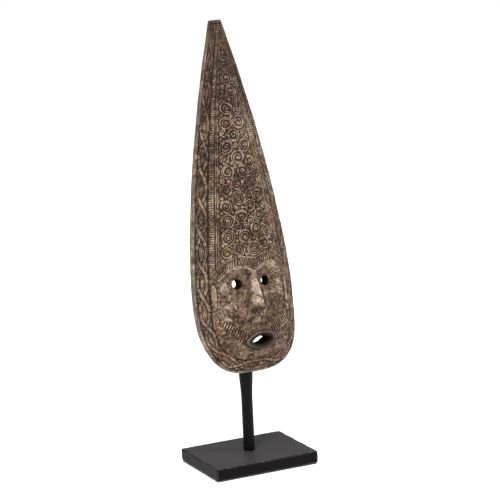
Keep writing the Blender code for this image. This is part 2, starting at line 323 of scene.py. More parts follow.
def spiral(rho, angle, radius, hand, turn):
    """Relief of one scroll round its own middle."""
    turns = max(round(radius / 4.7), 1)
    pitch = (radius - 0.4) / (turns + 0.35)
    phase = rho / pitch - hand * angle / (2.0 * math.pi) + turn
    d = np.abs(phase - np.floor(phase) - 0.5) * pitch
    line = ridge(d, 0.26 * pitch)
    line = np.where(rho < 0.62 * pitch, np.maximum(line, ridge(rho, 0.5 * pitch)), line)
    rim = ridge(rho - (radius - 1.2), 1.2)
    return np.maximum(line * (rho < radius - 0.4), rim)


def join_scrolls(relief, xa, h, middle, radius, hand):
    """Tangent strokes that join neighbouring scrolls into S curves."""
    big = np.flatnonzero(radius > JOINED)
    used = np.zeros(len(radius), int)
    pairs = [(math.hypot(*(middle[i] - middle[j])) - radius[i] - radius[j], i, j)
             for n, i in enumerate(big) for j in big[n + 1:]]
    for space, i, j in sorted(pairs):
        if space > 3.0 or used[i] > 1 or used[j] > 1:
            continue
        used[i] += 1
        used[j] += 1
        c = middle[j] - middle[i]
        ri, rj = radius[i] - 1.2, radius[j] - 1.2
        ang = math.atan2(c[1], c[0]) + hand[i] * math.acos(min((ri + rj) / np.hypot(*c), 0.985))
        nrm = np.array([math.cos(ang), math.sin(ang)])
        p = middle[i] + ri * nrm
        d = middle[j] - rj * nrm - p
        t = clamp(((xa - p[0]) * d[0] + (h - p[1]) * d[1]) / (d @ d + 1e-9))
        away = np.hypot(xa - p[0] - t * d[0], h - p[1] - t * d[1])
        relief = np.where(away < 2.3, relief * clamp((away - 1.3) / 1.0), relief)
        relief = np.maximum(relief, ridge(away, 1.25))
    return relief


def scroll_relief(xa, h):
    """The panel's scrolls and beads, what fills the gaps, and the strokes between scrolls."""
    middle, radius, rnd = pack_scrolls()
    hand = np.where(rnd.rand(len(radius)) < 0.5, -1.0, 1.0)
    turn = rnd.rand(len(radius))
    gap = np.full(xa.shape, 50.0)
    relief = np.zeros(xa.shape)
    for i in range(len(radius)):
        dx, dy = xa - middle[i, 0], h - middle[i, 1]
        rho = np.hypot(dx, dy)
        near = rho < radius[i] + 6.0
        r, a = rho[near], np.arctan2(dy[near], dx[near])
        r = r * (1.0 + 0.05 * np.sin(2 * a + 6.0 * turn[i]))
        gap[near] = np.minimum(gap[near], r - radius[i])
        if radius[i] > BEAD:
            mark = spiral(r, a, radius[i], hand[i], turn[i])
        else:
            mark = ridge(r, radius[i] + 0.1)
        relief[near] = np.maximum(relief[near], mark * (r < radius[i] + 0.1))
    fill = gap - 1.1
    relief = np.where(fill > 0.0, 0.75 * clamp(fill / 0.8), relief)
    return join_scrolls(relief, xa, h, middle, radius, hand)


# ---------- carving: what each mark looks like
# the border, in mm over the surface from the edge: plain strip, braid, ladder, two lines, panel
STRIP_END, BRAID_END = 5.2, 27.2
LADDER_START, LADDER_MID, LADDER_HALF, LADDER_END = 28.4, 33.4, 4.6, 38.8
LINE_1, LINE_2, LINE_HALF = 40.6, 43.7, 1.1
PANEL_START, PANEL_LOW = 45.6, 165.0
LOOP_H = 102.0             # the middle of a loop of the braid is level with this height
RUNG_PITCH, HATCH_PITCH, STROKE_PITCH = 3.7, 3.5, 4.2
ARCH_BAND, ARCH_REACH, ARCH_LOW = 15.4, 68.0, 150.0
HATCH_MID, HATCH_HALF = 7.7, 5.3
LID_DROP, LID_X, LID_H = 21.5, 6.0, 138.0
WEDGE_FROM, WEDGE_TO = np.array([57.0, 87.0]), np.array([19.0, 55.0])
BAR_E, BAR_H, BAR_HALF, BAR_LONG = 34.0, 127.0, 4.6, 21.0
LIP_L, LIP_T = 29.0, 15.2  # half length and half height of the raised rim round the mouth
LIP_POWER = 1.65
LIP_OUT, LIP_IN = 1.2, -5.6
TIP_RING, TIP_END = 551.5, 553.0

# how deep each part is cut, in mm
SKIN_CUT, BRAID_CUT, LADDER_CUT, SCROLL_CUT, ARCH_CUT, WEDGE_CUT = 1.0, 2.3, 1.4, 2.0, 1.6, 1.9


def comb(along, pitch, low, span):
    """Rounded teeth, 0 to 1, one in each pitch."""
    return clamp((0.5 + 0.5 * np.cos(2 * math.pi * along / pitch) - low) / span)


def ladder(ep, along):
    """Rungs, and the two fine lines between them and the panel."""
    rungs = 0.35 + 0.65 * comb(along, RUNG_PITCH, 0.18, 0.6)
    ends = clamp((LADDER_HALF - np.abs(ep - LADDER_MID)) / 0.8)
    fine = np.maximum(ridge(ep - LINE_1, LINE_HALF), ridge(ep - LINE_2, LINE_HALF))
    return np.where(ep > LADDER_END, fine, rungs * ends)


def under_arches(x, h):
    """Distance below the arches' upper line, and length along that line."""
    slope = arch_slope(x)
    drop = arch_line(x) - h
    foot = x + drop * slope / (1.0 + slope ** 2)
    table = np.linspace(-90.0, 90.0, 721)
    along = np.interp(foot, table, path_length(table, arch_line(table)))
    return drop / np.sqrt(1.0 + slope ** 2), along


def arch_band(below, along):
    """Hatching between two fine lines."""
    hatch = comb(along, HATCH_PITCH, 0.15, 0.6)
    hatch = hatch * clamp((HATCH_HALF - np.abs(below - HATCH_MID)) / 0.9)
    fine = np.maximum(ridge(below - 1.1, 1.2), ridge(below - 14.3, 1.1))
    return np.where(np.abs(below - HATCH_MID) < HATCH_HALF + 0.2, hatch, fine)


def weathered(x, h):
    """The worn and pitted skin of the face."""
    rough = 0.5 * rough_noise(x, h, 2.6, 21) + 0.5 * rough_noise(x, h * 1.6, 8.0, 25)
    pits = clamp((rough_noise(x + 300, h, 2.9, 27) - 0.64) / 0.1)
    return clamp(0.25 + rough) * (1.0 - 0.55 * pits)


def wedge(x, h):
    """Strokes in a wedge that widens from the jaw to the mouth, and which points are in it."""
    axis = WEDGE_TO - WEDGE_FROM
    size = np.hypot(*axis)
    dx, dh = np.abs(x) - WEDGE_FROM[0], h - WEDGE_FROM[1]
    q = (dx * axis[0] + dh * axis[1]) / size ** 2
    v = (dx * axis[1] - dh * axis[0]) / size
    half = 3.8 + 7.4 * clamp(q)
    strokes = comb(0.89 * np.abs(x) + 0.45 * h, STROKE_PITCH, 0.22, 0.5)
    return strokes * clamp((half - np.abs(v)) / 0.8), (q > 0.0) & (q < 1.0) & (np.abs(v) < half)


def outside_rim(x, h):
    """Distance outside the rim of the mouth, below zero on the rim."""
    p, q = mouth_frame(x, h)
    total = np.abs(p / LIP_L) ** LIP_POWER + np.abs(q / LIP_T) ** LIP_POWER
    return (total ** (1.0 / LIP_POWER) - 1.0) * LIP_T


def eye_distance(x, h):
    return np.minimum(np.hypot(x - HOLE_L, h - HOLE_H), np.hypot(x - HOLE_R, h - HOLE_H))


# ---------- carving: everything
def carve_border(p, ep, along, wander, drift):
    """Relief and depth of the braid, ladder and scroll panel, and where any of them is."""
    x, h = p["x"], p["h"]
    relief, depth = np.ones_like(x), np.full_like(x, SKIN_CUT)
    in_braid = (ep > STRIP_END) & (ep < BRAID_END)
    phase = (along - (p["quarter"] + (LOOP_H - BELLY_H))) / PITCH + 6.0
    relief = np.where(in_braid, braid(ep, phase), relief)
    sides = np.minimum(groove(ep - STRIP_END, 1.2), groove(ep - BRAID_END, 1.3))
    relief = np.minimum(relief, sides)
    depth = np.where((ep > STRIP_END - 1.4) & (ep < BRAID_END + 1.4), BRAID_CUT, depth)

    above = step((h - arch_line(x) + 4.0) / 8.0) * step((h - 160.0) / 8.0)
    in_ladder = (ep > LADDER_START) & (ep < PANEL_START) & p["upper"] & (above > 0.5)
    relief = np.where(in_ladder, ladder(ep, along), relief)
    depth = np.where(in_ladder, LADDER_CUT, depth)

    in_panel = (ep >= PANEL_START) & (h > arch_line(x)) & p["upper"] & (h > PANEL_LOW)
    relief[in_panel] = scroll_relief(p["xa"][in_panel] + 1.2 * wander[in_panel],
                                     h[in_panel] + 1.2 * drift[in_panel])
    depth = np.where(in_panel, SCROLL_CUT, depth)
    return relief, depth, in_braid | in_ladder | in_panel


def carve(p):
    """Relief 0 to 1, its depth in mm and what else the front's points need."""
    x, h = p["x"], p["h"]
    wander = rough_noise(x + 200, h, 16.0, 3) - 0.5
    drift = rough_noise(x - 90, h + 40, 19.0, 7) - 0.5
    ep = p["e"] / border_scale(h) + 1.5 * wander
    relief, depth, bordered = carve_border(p, ep, p["t"] + 2.2 * drift, wander, drift)

    below, along = under_arches(x, h)
    below = below + 0.8 * wander
    in_arch = (below > 0.0) & (below < ARCH_BAND) & (ep > BRAID_END + 1.4)
    in_arch = in_arch & (np.abs(x) < ARCH_REACH) & (h > ARCH_LOW)
    relief = np.where(in_arch, arch_band(below, along), relief)
    depth = np.where(in_arch, ARCH_CUT, depth)

    # the bare skin of the face, and the crease of the eyelids
    skin = ~bordered & ~in_arch & (ep > BRAID_END)
    relief = np.where(skin, np.minimum(relief, weathered(x, h)), relief)
    depth = np.where(skin, SKIN_CUT, depth)
    crease = np.exp(-(((below - LID_DROP - 2.0 * wander) / 1.1) ** 2))
    crease = crease * (np.abs(x) > LID_X) * (h > LID_H)
    relief = np.where(skin, relief * (1.0 - 0.3 * crease), relief)

    # hatched wedges from the jaw to the corners of the mouth
    strokes, in_wedge = wedge(x, h)
    in_wedge = in_wedge & skin
    relief = np.where(in_wedge, strokes, relief)
    depth = np.where(in_wedge, WEDGE_CUT, depth)

    # raised bar beside the eye, where the ear would be
    bar = 1.0 - ((ep - BAR_E) / BAR_HALF) ** 2 - ((h - BAR_H) / BAR_LONG) ** 4
    bare = skin & ~in_wedge
    lift = 1.5 * np.sqrt(clamp(bar)) * bare
    relief = np.where(bare & (bar > 0.15), np.maximum(relief, 0.93), relief)
    moat = np.exp(-((bar + 0.05) / 0.28) ** 2) * (bar < 0.15)
    relief = np.where(bare, relief * (1.0 - 0.8 * moat), relief)

    # two rings round the mouth and the slope into it, and the worn edge of the eye holes
    out = outside_rim(x, h)
    rings = np.maximum(ridge(out + 1.6, 1.5), 0.8 * ridge(out + 4.4, 1.2))
    relief = np.where(out < LIP_OUT, np.where(out < LIP_IN, 0.55, rings), relief)
    depth = np.where(out < LIP_OUT, 1.5 + 1.6 * clamp((-6.0 - out) / 4.0), depth)
    eye = eye_distance(x, h)
    relief = np.where(eye < EYE_R + 1.6, relief * clamp((eye - EYE_R + 0.4) / 2.0), relief)

    # a ring cut across the tip
    ring = 1.0 - 0.7 * np.exp(-((h - TIP_RING) ** 2))
    relief = np.where(ep > 6.0, relief * ring, relief)
    relief = np.where(h > TIP_END, 0.9, relief)

    # the knife never cuts evenly
    relief = relief * clamp(1.25 - 0.9 * rough_noise(x + 50, h, 21.0, 41), 0.72, 1.0)
    depth = depth * (0.75 + 0.45 * rough_noise(x, h, 26.0, 31))
    return {"relief": relief, "depth": depth, "lift": lift, "stain": clamp((0.1 - out) / 1.1),
            "skin": skin.astype(float), "strip": (ep < 5.0).astype(float)}


# ---------- mask mesh
HALF_COLS = 150            # columns of points from the middle to the edge
WALL_STEPS = 12            # rows of points down the plain edge strip
ROW_STEP = 0.72            # between rows, in mm
RAYS = 400                 # round the chin, from side to side
BACK_COLS = 46
BACK_INSET = 0.3           # the back stands in from the outline by this
FOOT_ROUND, FOOT_PINCH = 1.4, 1.2   # the rounding where the edge strip meets the back
HOLLOW_FROM = 0.6          # deeper than this the back is hollow, else it is the flat rim
ADZE_W, ADZE_L = 11.0, 37.0
FIELDS = ("x", "h", "d", "u", "e", "xa", "t", "upper", "wall")


class Points:
    """Grids of surface points, numbered in one run."""

    def __init__(self):
        self.parts = {name: [] for name in FIELDS}
        self.count = 0

    def add(self, *values):
        shape = values[0].shape
        for name, value in zip(FIELDS, values):
            self.parts[name].append(np.broadcast_to(value, shape).astype(float).ravel())
        index = self.count + np.arange(values[0].size).reshape(shape)
        self.count += values[0].size
        return index

    def joined(self):
        return {name: join(*part) for name, part in self.parts.items()}


def column_ratios(count):
    """Ratios 0 to 1 spaced evenly along the section over the belly."""
    u = np.linspace(0.0, 1.0, 2000)
    s = path_length(u * BELLY_W, arch(u, BELLY_H))
    return np.interp(np.linspace(0.0, 1.0, count + 1) * s[-1], s, u)


def upper_rows():
    """Heights of the rows from the belly up."""
    count = int(round((MASK_H - BELLY_H) / ROW_STEP))
    return BELLY_H + (MASK_H - BELLY_H) * np.arange(count + 1) / count


def chin_rays(samples=4000):
    """Ends of the rays round the chin, their distance from its lowest point, and the longest."""
    a = np.linspace(0.0, 0.5 * math.pi, samples)
    x = BELLY_W * np.sin(a) ** (2.0 / CHIN_ROUND)
    h = BELLY_H - BELLY_H * np.cos(a) ** (2.0 / CHIN_ROUND)
    s = path_length(x, h)
    k = np.arange(1, RAYS)
    left = k <= RAYS // 2
    arc = np.where(left, 1.0 - k / (RAYS / 2.0), k / (RAYS / 2.0) - 1.0) * s[-1]
    return np.interp(arc, s, x) * np.where(left, -1.0, 1.0), np.interp(arc, s, h), arc, s[-1]


ROWS = upper_rows()
CHIN_X, CHIN_H, CHIN_T, QUARTER = chin_rays()


def section_arcs(px, ph, pd):
    """Distances along each row of points from its outer end, and from its inner end."""
    seg = np.sqrt(np.diff(px, axis=1) ** 2 + np.diff(ph, axis=1) ** 2 + np.diff(pd, axis=1) ** 2)
    inner = join(np.zeros((len(px), 1)), np.cumsum(seg, axis=1), axis=1)
    return inner[:, -1:] - inner, inner


def vertex_normals(co, tris):
    n = np.cross(co[tris[:, 1]] - co[tris[:, 0]], co[tris[:, 2]] - co[tris[:, 0]])
    total = np.zeros_like(co)
    for c in range(3):
        for axis in range(3):
            total[:, axis] += np.bincount(tris[:, c], weights=n[:, axis], minlength=len(co))
    return total / np.maximum(np.linalg.norm(total, axis=1, keepdims=True), 1e-12)


def smooth_values(values, edges, rounds):
    a, b = edges[:, 0], edges[:, 1]
    count = np.bincount(a, minlength=len(values)) + np.bincount(b, minlength=len(values))
    for _ in range(rounds):
        total = np.bincount(a, weights=values[b], minlength=len(values))
        total += np.bincount(b, weights=values[a], minlength=len(values))
        values = 0.5 * values + 0.5 * total / np.maximum(count, 1)
    return values


def quads(grid):
    """Faces between neighbouring rows of an index grid."""
    corners = [grid[:-1, :-1], grid[:-1, 1:], grid[1:, 1:], grid[1:, :-1]]
    return np.stack(corners, -1).reshape(-1, 4)


def sheet(top, low):
    """Quads and pole fan of one side, and its outline from the tip round the chin to the tip."""
    mid = top.shape[1] // 2
    ring = join(top[:1, :mid][:, ::-1], low, top[:1, mid + 1:])
    inner = ring[:, 0]
    fan = np.stack([np.full(len(inner) - 1, top[0, mid]), inner[:-1], inner[1:]], -1)
    outline = join(top[::-1, 0], low[:, -1], top[:, -1])
    return join(quads(top), quads(ring)), fan, outline


def front_grids():
    """Points of the front: rows over the tall part, rays over the chin, and the edge strip."""
    points = Points()
    us = column_ratios(HALF_COLS)
    hw = half_width(ROWS)
    side = QUARTER + path_length(ROWS, hw)
    x = hw[:, None] * us[None, :]
    h = np.broadcast_to(ROWS[:, None], x.shape)
    d = arch(us[None, :], h)
    from_edge, from_mid = section_arcs(x, h, d)
    sign = join(-np.ones(HALF_COLS), np.ones(HALF_COLS + 1))
    both = join(np.arange(HALF_COLS, 0, -1), np.arange(HALF_COLS + 1))
    top = points.add(x[:, both] * sign, h[:, both], d[:, both], us[both], from_edge[:, both],
                     from_mid[:, both] * sign, side[:, None], 1.0, 0.0)

    x = CHIN_X[:, None] * us[None, :]
    h = BELLY_H + (CHIN_H - BELLY_H)[:, None] * us[None, :]
    d = arch(us[None, :], h)
    from_edge, _ = section_arcs(x, h, d)
    low = points.add(x[:, 1:], h[:, 1:], d[:, 1:], us[1:], from_edge[:, 1:], x[:, 1:],
                     CHIN_T[:, None], 0.0, 0.0)

    # the edge strip runs in one piece round the whole outline, down to the back plane
    rim_x = join(-hw[::-1], CHIN_X, hw)
    rim_h = join(ROWS[::-1], CHIN_H, ROWS)
    rim_t = join(side[::-1], CHIN_T, side)
    down = np.arange(1, WALL_STEPS + 1) / WALL_STEPS
    d = EDGE_T * (1.0 - down)[None, :] + 0 * rim_x[:, None]
    bend = 1.0 - np.sqrt(clamp(1.0 - ((FOOT_ROUND - d) / FOOT_ROUND) ** 2))
    pinch = np.where(d < FOOT_ROUND, bend, 0.0) * FOOT_PINCH
    run_x, run_h = np.gradient(rim_x), np.gradient(rim_h)
    size = np.hypot(run_x, run_h)
    x = rim_x[:, None] - (run_h / size)[:, None] * pinch
    h = rim_h[:, None] + (run_x / size)[:, None] * pinch
    wall = points.add(x, h, d, 1.0, d - EDGE_T, 0.0, rim_t[:, None],
                      (rim_h >= BELLY_H)[:, None], 1.0)
    return points, top, low, wall


def bulge(x, h, u):
    """How far the face stands out over its surroundings at several distances, about -1 to 1."""
    here = face(x, h, u)
    total = 0.0
    for span, strength in ((3.0, 0.42), (6.0, 0.36), (11.0, 0.10), (16.0, 0.05)):
        for sx, sh in ((span, 0.0), (-span, 0.0), (0.0, span), (0.0, -span)):
            total = total + strength * (here - face(x + sx, h + sh, u)) / 4.0
    return np.clip(total, -1.0, 1.0) * clamp((eye_distance(x, h) - 5.0) / 13.0, 0.25, 1.0)


def front_surface(p, quad_faces, fan, rim):
    """Places of the carved front's points, and what the shader reads there."""
    x, h, d, u, e = (p[name] for name in ("x", "h", "d", "u", "e"))
    on_wall = p["wall"] > 0.5
    co = np.stack([x, h, d + np.where(on_wall, 0.0, face(x, h, u))], -1)
    tris = join(quad_faces[:, [0, 1, 2]], quad_faces[:, [0, 2, 3]], fan)
    normals = vertex_normals(co, tris)
    normals = normals * np.sign(np.sum(normals[:, 2]))
    cut = carve(p)
    edges = join(quad_faces[:, [0, 1]], quad_faces[:, [1, 2]])
    relief = smooth_values(np.where(on_wall, 0.9, cut["relief"]), edges, 1)

    worn = rough_noise(p["t"], d * 2.0, 14.0, 51) - 0.5
    hewn = rough_noise(x, h, 34.0, 61) - 0.5
    chips = clamp((rough_noise(p["t"], d + e, 7.0, 71) - 0.66) / 0.15)
    move = cut["lift"] - cut["depth"] * (1.0 - relief) + 0.9 * hewn
    move = np.where(on_wall, 0.9 * worn - 0.4, move) - 0.8 * chips * np.exp(-((e / 2.2) ** 2))
    move[rim] = -0.15
    co = co + normals * move[:, None]
    co[rim, 2] = 0.0

    # cavity: how far a point lies below the smoothed relief round it, where the shader paints
    # shade
    around = smooth_values(relief, edges, 26)
    # hump: how far the face stands out round a point; the shader paints highlight on its bulges
    # and shade in its hollows
    on_face = {"stain": cut["stain"], "skin": cut["skin"], "hump": bulge(x, h, u)}
    values = {name: np.where(on_wall, 0.0, value) for name, value in on_face.items()}
    values.update(relief=relief, cavity=clamp(0.5 + (around - relief) * 0.9),
                  strip=cut["strip"], hollow=np.zeros(len(x)))
    return co, values


def adzed(x, h, u):
    """The hollow and its flat rim with adze cuts: places of points, and their tone, with painted
    shade deeper in the hollow.
    """
    d = cavity(x, h, u)
    hollow = d > HOLLOW_FROM
    lumps = rough_noise(x, h * 0.45, 9.0, 81) - 0.5
    across = (x + 7.0 * rough_noise(x, h, 28.0, 85)) / ADZE_W
    column = np.floor(across)
    along = (h + 23.0 * np.sin(2.4 * column) + 6.0 * rough_noise(x, h, 20.0, 87)) / ADZE_L
    row = np.floor(along)
    fx, fh = across - column - 0.5, along - row - 0.5
    rise = clamp(np.sqrt((2.0 * fx) ** 2 * 0.8 + (2.0 * fh) ** 6))
    odd = 0.13 * np.sin(5.1 * column + 3.7 * row)
    cut = np.where(hollow, 1.6 * (1.0 - rise) + 1.2 * lumps, 0.35 * lumps)
    # darker deeper in the hollow as painted shade, and darker at the edges of each cut
    tone = 0.60 - 0.32 * rise ** 4 + 0.7 * lumps + odd - 0.25 * clamp(d / 26.0)
    tone = np.where(hollow, tone, 0.95 + 0.5 * lumps)
    spot = np.stack([x, h, np.maximum(d + cut * np.minimum(1.0, d + 0.4), 0.0)], -1)
    return spot.reshape(-1, 3), clamp(tone).ravel()


def back_grids(first):
    """The back's two grids, numbered from first, its points and their tone values, painted shade
    included.
    """
    hw = half_width(ROWS)
    half = hw[:, None] - BACK_INSET
    wide = land(ROWS)[:, None]
    w = np.linspace(0.0, 1.0, BACK_COLS + 1)[:-1] ** 0.85
    near = join((half - wide) * w[None, :] / w[-1], half - 0.55 * wide, axis=1)
    x = join(-near[:, :0:-1], near, axis=1)
    h = np.broadcast_to(ROWS[:, None], x.shape)
    ratio = near[0] / (hw[0] - BACK_INSET)
    chin_x = (CHIN_X[:, None] * (1 - BACK_INSET / BELLY_W)) * ratio[None, 1:]
    drop = (CHIN_H - BELLY_H)[:, None] * (1 - BACK_INSET / BELLY_H)
    chin_h = BELLY_H + drop * ratio[None, 1:]
    chin_u = np.broadcast_to(ratio[None, 1:], chin_x.shape)
    top = first + np.arange(x.size).reshape(x.shape)
    low = first + x.size + np.arange(chin_x.size).reshape(chin_x.shape)
    co, shaded_tones = zip(adzed(x, h, np.abs(x) / hw[:, None]), adzed(chin_x, chin_h, chin_u))
    return top, low, join(*co), join(*shaded_tones)


def fill_mesh(mesh, co, quad_faces, tri_faces, cap):
    mesh.vertices.add(len(co))
    mesh.vertices.foreach_set("co", co.astype(np.float32).ravel())
    loops = join(quad_faces.ravel(), tri_faces.ravel(), cap)
    sizes = join(np.full(len(quad_faces), 4), np.full(len(tri_faces), 3), [len(cap)])
    starts = join([0], np.cumsum(sizes)[:-1])
    mesh.loops.add(len(loops))
    mesh.loops.foreach_set("vertex_index", loops.astype(np.int32))
    mesh.polygons.add(len(sizes))
    mesh.polygons.foreach_set("loop_start", starts.astype(np.int32))
    mesh.polygons.foreach_set("use_smooth", np.ones(len(sizes), bool))
    mesh.update(calc_edges=True)
    mesh.validate()


def add_object(name, data):
    obj = bpy.data.objects.new(name, data)
    scene.collection.objects.link(obj)
    return obj


def build_mask():
    points, top, low, wall = front_grids()
    rim = wall[:, -1]
    front_quads, fan, edge = sheet(top, low)
    strip = quads(join(edge[:, None], wall, axis=1))
    front_quads = join(front_quads, strip)
    data = points.joined()
    data["upper"] = data["upper"] > 0.5
    data["quarter"] = QUARTER
    front, values = front_surface(data, front_quads, fan, rim)

    back_top, back_low, back, shaded_tones = back_grids(points.count)
    back_quads, back_fan, edge = sheet(back_top, back_low)
    seam = quads(np.stack([rim, edge], -1))
    tip = join(wall[0][::-1], top[-1], wall[-1], back_top[-1][::-1])

    co = join(front, back)
    h = co[:, 1]
    x = co[:, 0] + skew(h)
    world = MASK_FOOT + x[:, None] * ACROSS + h[:, None] * UP + co[:, 2:] * OUT
    mesh = bpy.data.meshes.new("mask_carved")
    fill_mesh(mesh, world * MM, join(front_quads, back_quads[:, ::-1], seam),
              join(fan, back_fan[:, [0, 2, 1]]), tip)
    behind = {"relief": shaded_tones, "cavity": 0.5, "hollow": 1.0}
    values = {name: join(value, np.broadcast_to(behind.get(name, 0.0), len(shaded_tones)))
              for name, value in values.items()}
    values["height"] = clamp(h / MASK_H)
    for name, value in values.items():
        attribute = mesh.attributes.new(name, "FLOAT", "POINT")
        attribute.data.foreach_set("value", value.astype(np.float32))
    return add_object("mask_carved", mesh)


# ---------- holes
CUT_LOW, CUT_HIGH = -10.0, 90.0     # a cutter reaches from behind the mask to in front of it


def to_world(x, h, d):
    return ((MASK_FOOT + x * ACROSS + h * UP + d * OUT) * MM).tolist()


def prism(name, outline):
    """Closed prism right through the mask; outline is a list of (x, h)."""
    mesh = bpy.data.meshes.new(name)
    n = len(outline)
    verts = [to_world(x, h, d) for d in (CUT_LOW, CUT_HIGH) for x, h in outline]
    polys = [[k, (k + 1) % n, n + (k + 1) % n, n + k] for k in range(n)]
    polys += [list(range(n - 1, -1, -1)), list(range(n, 2 * n))]
    mesh.from_pydata(verts, [], polys)
    return add_object(name, mesh)


def pierce(obj, cutters):
    for cutter in cutters:
        mod = obj.modifiers.new(cutter.name, "BOOLEAN")
        mod.operation = "DIFFERENCE"
        mod.solver = "MANIFOLD"
        mod.material_mode = "TRANSFER"
        mod.object = cutter
        depsgraph = bpy.context.evaluated_depsgraph_get()
        mesh = bpy.data.meshes.new_from_object(obj.evaluated_get(depsgraph))
        obj.modifiers.clear()
        obj.data = mesh
        bpy.data.objects.remove(cutter, do_unlink=True)


def eye_outline(cx, seed, count=72):
    """A circle drilled by hand, so not quite round."""
    wob = np.random.RandomState(seed).rand(4) * 2 * math.pi
    pts = []
    for k in range(count):
        a = 2 * math.pi * k / count
        r = EYE_R * (1.0 + 0.012 * math.sin(3 * a + wob[0]) + 0.008 * math.sin(5 * a + wob[1]))
        pts.append((cx + r * math.cos(a), HOLE_H + r * math.sin(a)))
    return pts


def mouth_outline(count=48):
    pts = []
    c, s = math.cos(MOUTH_TURN), math.sin(MOUTH_TURN)
    middle = MOUTH_X + float(skew(np.array(MOUTH_H)))
    for side in (-1.0, 1.0):
        for k in range(count):
            t = -1.0 + 2.0 * k / count
            p = -side * MOUTH_L * t
            q = side * MOUTH_T * (1.0 - abs(t) ** MOUTH_POWER)
            pts.append((middle + p * c - q * s, MOUTH_H + p * s + q * c))
    return pts


# ---------- material helpers
class Nodes:
    """A new material, with short ways to add nodes in front of its shader."""

    def __init__(self, name):
        self.mat = bpy.data.materials.new(name)
        self.mat.use_nodes = True
        self.tree = self.mat.node_tree
        self.shader = self.tree.nodes["Principled BSDF"]

    def put(self, socket, value):
        """A link if the value is a node's output, else a constant."""
        if hasattr(value, "is_output"):
            self.tree.links.new(value, socket)
        elif isinstance(value, tuple):
            socket.default_value = (*value, 1.0)
        else:
            socket.default_value = value

    def new(self, kind, **inputs):
        node = self.tree.nodes.new(kind)
        for name, value in inputs.items():
            self.put(node.inputs[name.replace("_", " ")], value)
        return node

    def attribute(self, name):
        node = self.new("ShaderNodeAttribute")
        node.attribute_name = name
        return node.outputs["Fac"]

    def coords(self, scale=(1, 1, 1), rotation=(0, 0, 0)):
        mapping = self.new("ShaderNodeMapping")
        mapping.inputs["Scale"].default_value = scale
        mapping.inputs["Rotation"].default_value = rotation
        self.put(mapping.inputs["Vector"], self.new("ShaderNodeTexCoord").outputs["Object"])
        return mapping.outputs["Vector"]

    def noise(self, vector, scale, detail=4.0, rough=0.55):
        return self.new("ShaderNodeTexNoise", Vector=vector, Scale=scale, Detail=detail,
                        Roughness=rough).outputs["Fac"]

    def ramp(self, value, stops):
        node = self.new("ShaderNodeValToRGB", Fac=value)
        while len(node.color_ramp.elements) < len(stops):
            node.color_ramp.elements.new(0.5)
        for element, (position, colour) in zip(node.color_ramp.elements, stops):
            element.position = position
            element.color = (*colour, 1.0)
        return node.outputs["Color"]

    def remap(self, value, low, high, to_low=0.0, to_high=1.0):
        return self.new("ShaderNodeMapRange", Value=value, From_Min=low, From_Max=high,
                        To_Min=to_low, To_Max=to_high).outputs["Result"]

    def math(self, op, a, b):
        node = self.new("ShaderNodeMath")
        node.operation = op
        self.put(node.inputs[0], a)
        self.put(node.inputs[1], b)
        return node.outputs[0]

    def add(self, a, b):
        return self.math("ADD", a, b)

    def times(self, a, b):
        return self.math("MULTIPLY", a, b)

    def mix(self, fac, a, b):
        """Colour a where fac is 0 and b where it is 1."""
        node = self.new("ShaderNodeMix")
        node.data_type = "RGBA"
        for index, value in ((0, fac), (6, a), (7, b)):
            self.put(node.inputs[index], value)
        return node.outputs[2]

    def finish(self, colour, rough, specular=None):
        self.put(self.shader.inputs["Base Color"], colour)
        self.put(self.shader.inputs["Roughness"], rough)
        if specular is not None:
            self.shader.inputs["Specular IOR Level"].default_value = specular
        return self.mat

    def bump(self, height, strength, distance):
        node = self.new("ShaderNodeBump", Strength=strength, Distance=distance, Height=height)
        self.put(self.shader.inputs["Normal"], node.outputs["Normal"])


# ---------- materials
SHADE_AND_PORE_DARK = (0.0105, 0.0072, 0.0056)
DARK_WOOD = (0.026, 0.0175, 0.013)
BROWN_WOOD = (0.082, 0.051, 0.034)
MID_WOOD = (0.170, 0.113, 0.077)
TAN_WOOD = (0.240, 0.172, 0.120)
PALE_WOOD = (0.445, 0.355, 0.262)
GREY_WOOD = (0.080, 0.069, 0.061)
RED_WOOD = (0.165, 0.055, 0.032)
OCHRE_WOOD = (0.230, 0.140, 0.052)
LIP_DARK, LIP_WORN = (0.007, 0.005, 0.004), (0.105, 0.080, 0.064)
BACK_PALE, BACK_BROWN = (0.150, 0.100, 0.064), (0.085, 0.055, 0.036)
BACK_PATCH, BACK_SHADE_DARK = (0.060, 0.038, 0.025), (0.024, 0.015, 0.010)
BACK_SPECK = (0.020, 0.013, 0.009)
HOLE_SHADE_DARK, HOLE_SHADE_LIGHTER = (0.0035, 0.0022, 0.0016), (0.012, 0.0075, 0.005)
POST_PAINT, BASE_PAINT = (0.0018, 0.0018, 0.0020), (0.0014, 0.0009, 0.0009)
TOP_LIGHT_AND_DUST, EDGE_RUB_AND_HIGHLIGHT, CHIP_AND_SPARKLE = (0.034, 0.032, 0.032), (0.022, 0.019, 0.018), (0.16, 0.135, 0.12)
FELT_LOW, FELT_HIGH, FELT_MAT = (0.010, 0.010, 0.011), (0.045, 0.044, 0.045), (0.02, 0.02, 0.022)
STEEL, ZINC = (0.55, 0.55, 0.56), (0.62, 0.62, 0.60)
WOOD_SPECULAR, PAINT_SPECULAR = 0.05, 0.07


